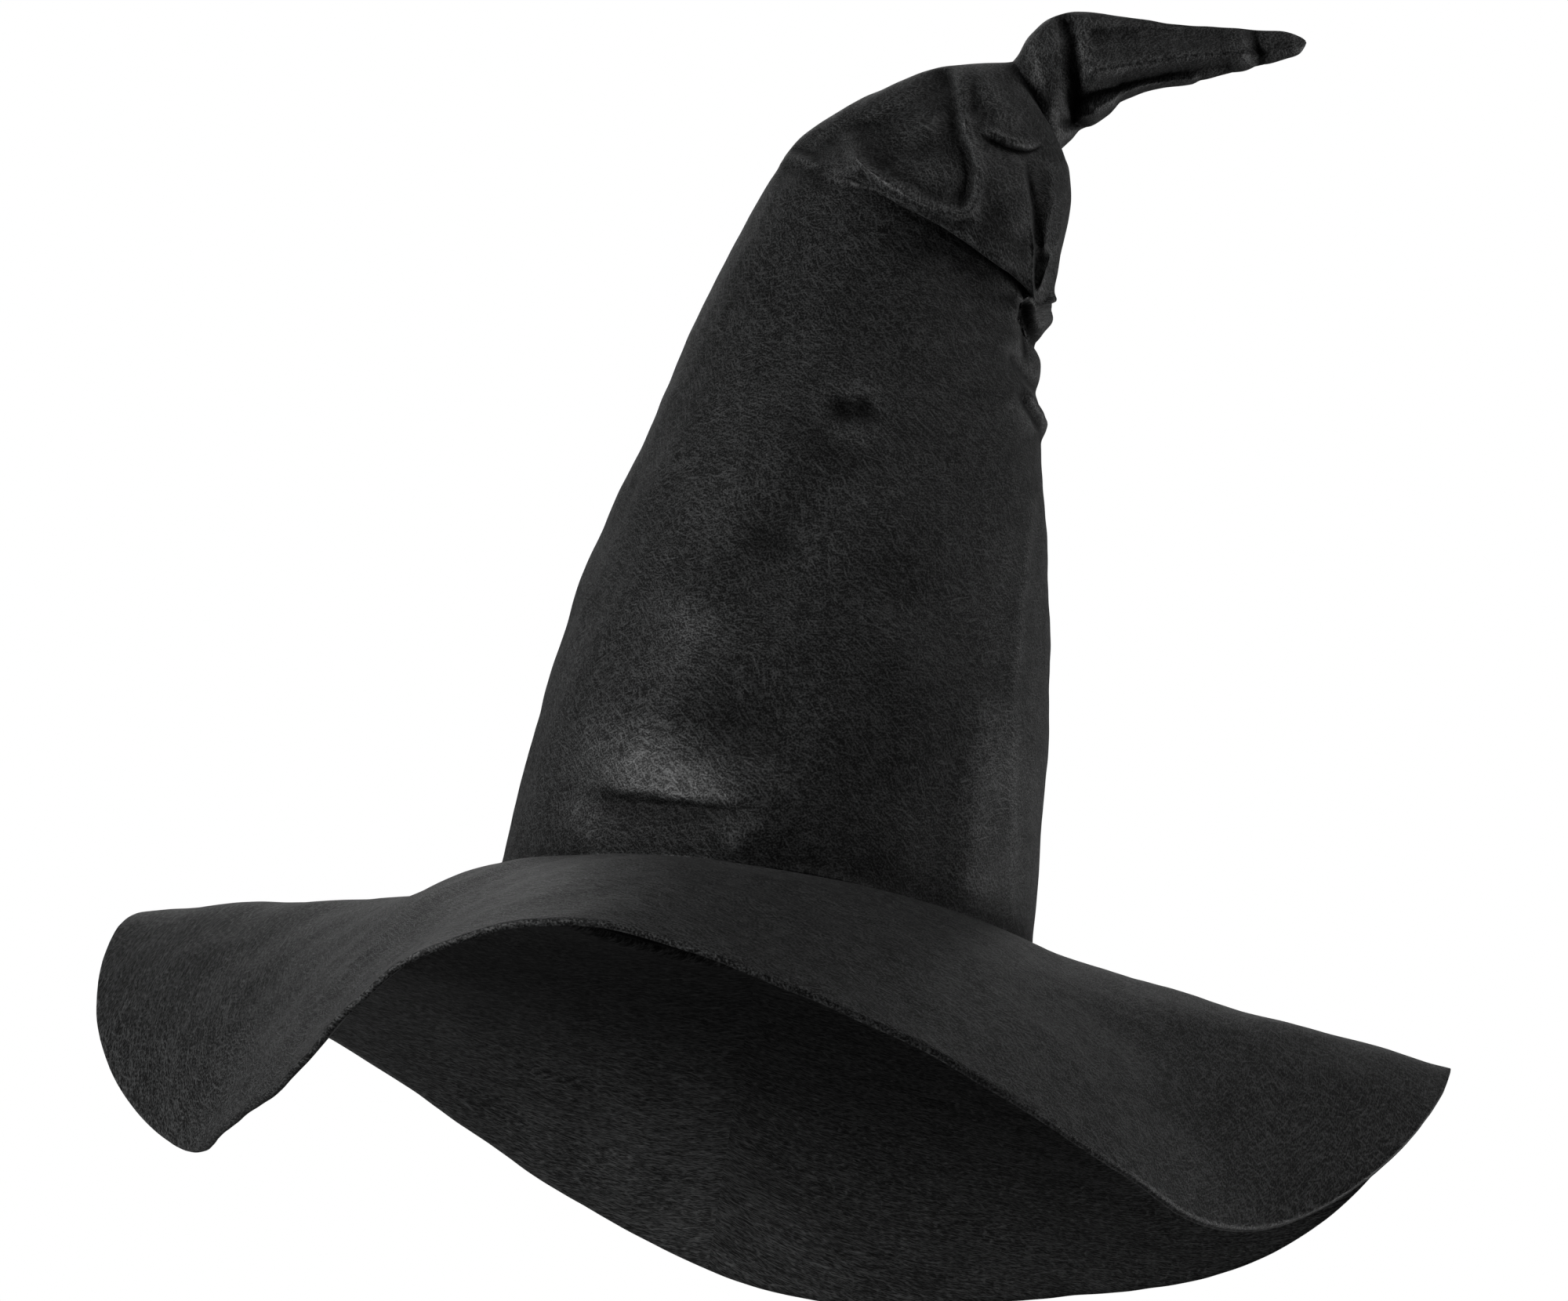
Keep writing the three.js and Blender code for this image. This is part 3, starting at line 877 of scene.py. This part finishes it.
def seam_stitches(inner, azimuths, above, material):
    """The zigzag that closes the cone, inside it, in one run below the fold and one above."""
    strip = pick(inner, azimuths, SEAM_AT + np.radians(np.linspace(-3, 3, 13)), 1)
    normals = surface_normals(strip, closed=False)
    parts, start = [], 0
    for low, high in ((-168, -32), (12, 36)):
        places = np.arange(low, high, STITCH_STEP)
        side = 6 + 2.4 * np.clip(1.5 * np.sin(places * math.pi / STITCH), -1, 1)
        rows = pick(strip, above, places, 0)
        facing = pick(normals, above, places, 0)
        path = np.array([pick(r[None], np.arange(13), [at], 1)[0, 0] for r, at in zip(rows, side)])
        outward = facing[:, 6]
        verts, faces, uvs = thread_run(path - outward * 0.5, outward, False)
        parts.append((verts, faces + start, uvs))
        start += len(verts)
    verts, faces, uvs = (np.concatenate(kind) for kind in zip(*parts))
    thread = mesh_object("side_seam_stitches", verts, faces, uvs, material)
    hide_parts("side_seam_thread_lower", "side_seam_thread_upper")
    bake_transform(thread)
    return thread


def make_tape(inner, azimuths, above, material):
    """Narrow elastic over the seam, let out into ripples between its stitches."""
    strip = pick(inner, azimuths, SEAM_AT + np.radians(np.linspace(-2.5, 2.5, 15)), 1)
    places = np.arange(-72, -34, 0.35)
    grid = pick(strip, above, places, 0)
    ripple = 0.35 * np.sin(places * 2 * math.pi / 3.1)
    lift = 1.9 + ripple
    grid = grid - surface_normals(grid, closed=False) * lift[:, None, None]
    tape = slab("elastic_tape", grid, TAPE_THICK, material)
    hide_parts("gather_tape")
    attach(tape, "hat")
    return tape


def make_sweatband(material):
    """Ribbed ribbon, drawn into slight puckers along its stitched lower edge."""
    ribs, columns_each = 440, 5
    azimuths = np.arange(ribs * columns_each) * 2 * math.pi / (ribs * columns_each)
    heights = np.array([0.5, 0.8, 1.4, 2.5, 4, 6, 9, 13, 17, 21, 24, 26, 27.2, 27.7, 28])
    rib = 0.1 * np.cos(azimuths * ribs)[None, :]
    pucker = 0.4 * (np.sin(azimuths * 46 + 1) + 0.5 * np.sin(azimuths * 31))[None, :]
    pucker = pucker * np.exp(-((heights - 4) / 5) ** 2)[:, None]
    lean = 0.5 * np.sin(azimuths * 5 + 2)[None, :] * (heights / 28)[:, None] ** 2

    def face(inset, rib_way):
        offset = pucker + lean + rib * rib_way - inset
        c, s = np.cos(azimuths)[None, :], np.sin(azimuths)[None, :]
        z = np.broadcast_to(heights[:, None], offset.shape)
        return np.stack([(OPEN_X + offset) * c, (OPEN_Y + offset) * s, z], 2)

    outside, inside = face(BAND_INSET, 1), face(BAND_INSET + BAND_THICK, -1)
    band = closed_sheet("ribbon_band", outside, inside, azimuths, BAND_THICK, material, BACK_AT)
    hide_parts("sweatband")
    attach(band, "hat")
    return band


def make_label(material):
    """A blank woven label folded in half, its fold hanging down and one end a little short of the other."""
    across = np.linspace(-7, 7, 21)
    bottom, top, apart = 7.6, 37.5, 1.1
    bend = np.radians(np.linspace(0, 180, 9))
    down = np.linspace(top, bottom + apart / 2, 16)
    inset = np.concatenate([0 * down, apart / 2 * (1 - np.cos(bend[1:-1])), 0 * down + apart])
    rise = np.linspace(bottom + apart / 2, top - 0.6, 16)
    z = np.concatenate([down, bottom + apart / 2 * (1 - np.sin(bend[1:-1])), rise])
    curl = 0.9 * (across / 7) ** 2
    inset = inset[:, None] + 8.6 + curl[None, :] * (1 - (z[:, None] - bottom) / (top - bottom))
    theta = BACK_AT + np.radians(across)[None, :]
    z = np.broadcast_to(z[:, None], inset.shape)
    grid = np.stack([(OPEN_X - inset) * np.cos(theta), (OPEN_Y - inset) * np.sin(theta), z], 2)
    label = slab("woven_label", grid, LABEL_THICK, material)
    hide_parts("care_label")
    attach(label, "hat")
    return label


def woven_material(name, colour, pitch_u, pitch_v, roughness, depth):
    """Threads crossing at the given pitches in metres, a little uneven in shade."""
    mat = bpy.data.materials.new(name)
    mat.use_nodes = True
    nodes, links = mat.node_tree.nodes, mat.node_tree.links
    bsdf = nodes["Principled BSDF"]
    bsdf.inputs["Roughness"].default_value = roughness
    bsdf.inputs["Specular IOR Level"].default_value = 0.35
    coord = nodes.new("ShaderNodeUVMap")
    coord.uv_map = CLOTH_UV
    threads = []
    for way, pitch in (("X", pitch_u), ("Y", pitch_v)):
        wave = nodes.new("ShaderNodeTexWave")
        wave.bands_direction = way
        wave.inputs["Scale"].default_value = 2 * math.pi / (20 * pitch)
        wave.inputs["Distortion"].default_value = 0.6
        wave.inputs["Detail Scale"].default_value = 2.0
        links.new(coord.outputs["UV"], wave.inputs["Vector"])
        threads.append(wave.outputs["Fac"])
    weave = nodes.new("ShaderNodeMath")
    weave.operation = "MULTIPLY"
    for socket, thread in zip(weave.inputs, threads):
        links.new(thread, socket)
    blotch = nodes.new("ShaderNodeTexNoise")
    blotch.inputs["Scale"].default_value = 300
    blotch.inputs["Detail"].default_value = 4
    links.new(coord.outputs["UV"], blotch.inputs["Vector"])
    mixed = nodes.new("ShaderNodeMath")
    mixed.operation = "MULTIPLY_ADD"
    mixed.inputs[1].default_value = 0.6
    links.new(weave.outputs[0], mixed.inputs[0])
    links.new(blotch.outputs["Fac"], mixed.inputs[2])
    ramp = nodes.new("ShaderNodeValToRGB")
    stops = ramp.color_ramp.elements
    stops[0].position, stops[1].position = 0.3, 1.0
    stops[0].color = (*(0.55 * c for c in colour), 1)
    stops[1].color = (*colour, 1)
    links.new(mixed.outputs[0], ramp.inputs["Fac"])
    links.new(ramp.outputs["Color"], bsdf.inputs["Base Color"])
    bump = nodes.new("ShaderNodeBump")
    bump.inputs["Strength"].default_value = 0.7
    bump.inputs["Distance"].default_value = depth
    links.new(weave.outputs[0], bump.inputs["Height"])
    links.new(bump.outputs[0], bsdf.inputs["Normal"])
    return mat


# ---------------------------------------------------------------- assembly
felt = felt_material("felt", (0.0080, 0.0083, 0.0084), 0.03, 1.4)
# The brim is the same felt as the crown, painted brighter in shade and sheen: painted light standing in for
# the raking light the brim catches.
brim_felt = felt_material("brim_felt", (0.0147, 0.0151, 0.0152), 0.04, 1.6)
ribbon = woven_material("grosgrain", (0.02, 0.02, 0.022), 0.0004, 0.0003, 0.45, 0.0001)
spun = woven_material("spun_thread", (0.012, 0.012, 0.013), 0.0005, 0.0007, 0.6, 0.00008)
elastic = woven_material("knitted_elastic", (0.02, 0.02, 0.022), 0.0011, 0.0005, 0.7, 0.00015)
plain_weave = woven_material("woven_label", (0.72, 0.7, 0.65), 0.00035, 0.0003, 0.75, 0.00006)

crown, crown_inside, crown_azimuths, crown_above = make_crown(felt)
make_tip(felt)
brim = make_brim(brim_felt)
brim_thread = stitch_ring("brim_stitches", "brim_seam_thread", 3.3, 4.5, 1.2, spun)
side_thread = seam_stitches(crown_inside, crown_azimuths, crown_above, spun)
tape = make_tape(crown_inside, crown_azimuths, crown_above, elastic)
band = make_sweatband(ribbon)
band_thread = stitch_ring("band_stitches", "sweatband_thread", BAND_INSET + 1.1, 4, 1.0, spun)
label = make_label(plain_weave)
